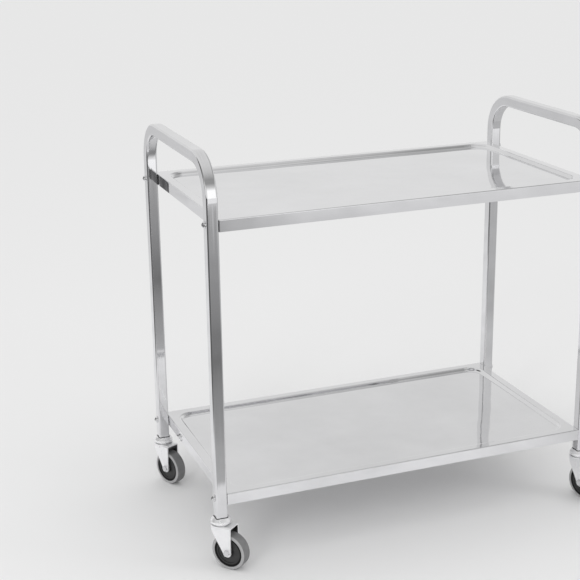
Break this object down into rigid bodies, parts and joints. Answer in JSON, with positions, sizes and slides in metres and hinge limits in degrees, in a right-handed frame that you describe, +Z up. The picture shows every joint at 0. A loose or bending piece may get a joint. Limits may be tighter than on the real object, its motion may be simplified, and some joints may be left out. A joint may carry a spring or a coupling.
{
  "type": "serving cart",
  "caption": "Tiered serving cart: pressed steel trays bolted between bent square-tube end frames with push handles, on four swivel casters.",
  "frame": {"origin": "on the floor below the middle of the cart, with the wheels' treads at Z 0", "axes": "+X along the length from the left end to the right, +Y from the front to the back, +Z up"},
  "size_m": [0.9272, 0.5722, 0.88],
  "materials": {
    "polished_tube": "mirror-polished stainless steel",
    "polished_sheet": "polished stainless sheet",
    "sheet_underside": "plain mill-finish stainless sheet",
    "bright_fastener": "bright steel",
    "zinc_plate": "bright zinc plate",
    "grey_rubber": "satin grey rubber",
    "hub_plastic": "dark moulded plastic",
    "plug_plastic": "black nylon"
  },
  "bodies": {
    "cart": {"left_end_frame": "polished_tube", "right_end_frame": "polished_tube", "upper_tray": "polished_sheet", "lower_tray": "polished_sheet", "upper_stiffener": "sheet_underside", "lower_stiffener": "sheet_underside", "tray_bolts": "bright_fastener", "tray_washers": "bright_fastener", "tray_nuts": "bright_fastener", "post_plugs": "plug_plastic", "front_left_stem": "zinc_plate", "front_left_swivel_cap": "zinc_plate", "back_left_stem": "zinc_plate", "back_left_swivel_cap": "zinc_plate", "front_right_stem": "zinc_plate", "front_right_swivel_cap": "zinc_plate", "back_right_stem": "zinc_plate", "back_right_swivel_cap": "zinc_plate"},
    "front_left_swivel": {"front_left_fork": "zinc_plate", "front_left_swivel_race": "bright_fastener", "front_left_axle_bolt": "bright_fastener", "front_left_axle_nut": "bright_fastener", "front_left_axle_sleeve": "bright_fastener"},
    "front_left_wheel": {"front_left_tyre": "grey_rubber", "front_left_hub": "hub_plastic", "front_left_wheel_covers": "hub_plastic"},
    "back_left_swivel": {"back_left_fork": "zinc_plate", "back_left_swivel_race": "bright_fastener", "back_left_axle_bolt": "bright_fastener", "back_left_axle_nut": "bright_fastener", "back_left_axle_sleeve": "bright_fastener"},
    "back_left_wheel": {"back_left_tyre": "grey_rubber", "back_left_hub": "hub_plastic", "back_left_wheel_covers": "hub_plastic"},
    "front_right_swivel": {"front_right_fork": "zinc_plate", "front_right_swivel_race": "bright_fastener", "front_right_axle_bolt": "bright_fastener", "front_right_axle_nut": "bright_fastener", "front_right_axle_sleeve": "bright_fastener"},
    "front_right_wheel": {"front_right_tyre": "grey_rubber", "front_right_hub": "hub_plastic", "front_right_wheel_covers": "hub_plastic"},
    "back_right_swivel": {"back_right_fork": "zinc_plate", "back_right_swivel_race": "bright_fastener", "back_right_axle_bolt": "bright_fastener", "back_right_axle_nut": "bright_fastener", "back_right_axle_sleeve": "bright_fastener"},
    "back_right_wheel": {"back_right_tyre": "grey_rubber", "back_right_hub": "hub_plastic", "back_right_wheel_covers": "hub_plastic"}
  },
  "joints": [
    {"name": "front_left_swivel_turn", "type": "hinge", "parent": "cart", "child": "front_left_swivel", "pos_m": [-0.4375, -0.2225, 0.105], "axis": [0, 0, 1], "continuous": true},
    {"name": "front_left_wheel_roll", "type": "hinge", "parent": "front_left_swivel", "child": "front_left_wheel", "pos_m": [-0.42272, -0.24012, 0.04], "axis": [0.766, 0.6428, 0], "continuous": true},
    {"name": "back_left_swivel_turn", "type": "hinge", "parent": "cart", "child": "back_left_swivel", "pos_m": [-0.4375, 0.2225, 0.105], "axis": [0, 0, 1], "continuous": true},
    {"name": "back_left_wheel_roll", "type": "hinge", "parent": "back_left_swivel", "child": "back_left_wheel", "pos_m": [-0.42778, 0.20166, 0.04], "axis": [0.9063, 0.4226, 0], "continuous": true},
    {"name": "front_right_swivel_turn", "type": "hinge", "parent": "cart", "child": "front_right_swivel", "pos_m": [0.4375, -0.2225, 0.105], "axis": [0, 0, 1], "continuous": true},
    {"name": "front_right_wheel_roll", "type": "hinge", "parent": "front_right_swivel", "child": "front_right_wheel", "pos_m": [0.44228, -0.245, 0.04], "axis": [0.9781, 0.2079, 0], "continuous": true},
    {"name": "back_right_swivel_turn", "type": "hinge", "parent": "cart", "child": "back_right_swivel", "pos_m": [0.4375, 0.2225, 0.105], "axis": [0, 0, 1], "continuous": true},
    {"name": "back_right_wheel_roll", "type": "hinge", "parent": "back_right_swivel", "child": "back_right_wheel", "pos_m": [0.44228, 0.245, 0.04], "axis": [-0.9781, 0.2079, 0], "continuous": true}
  ]
}
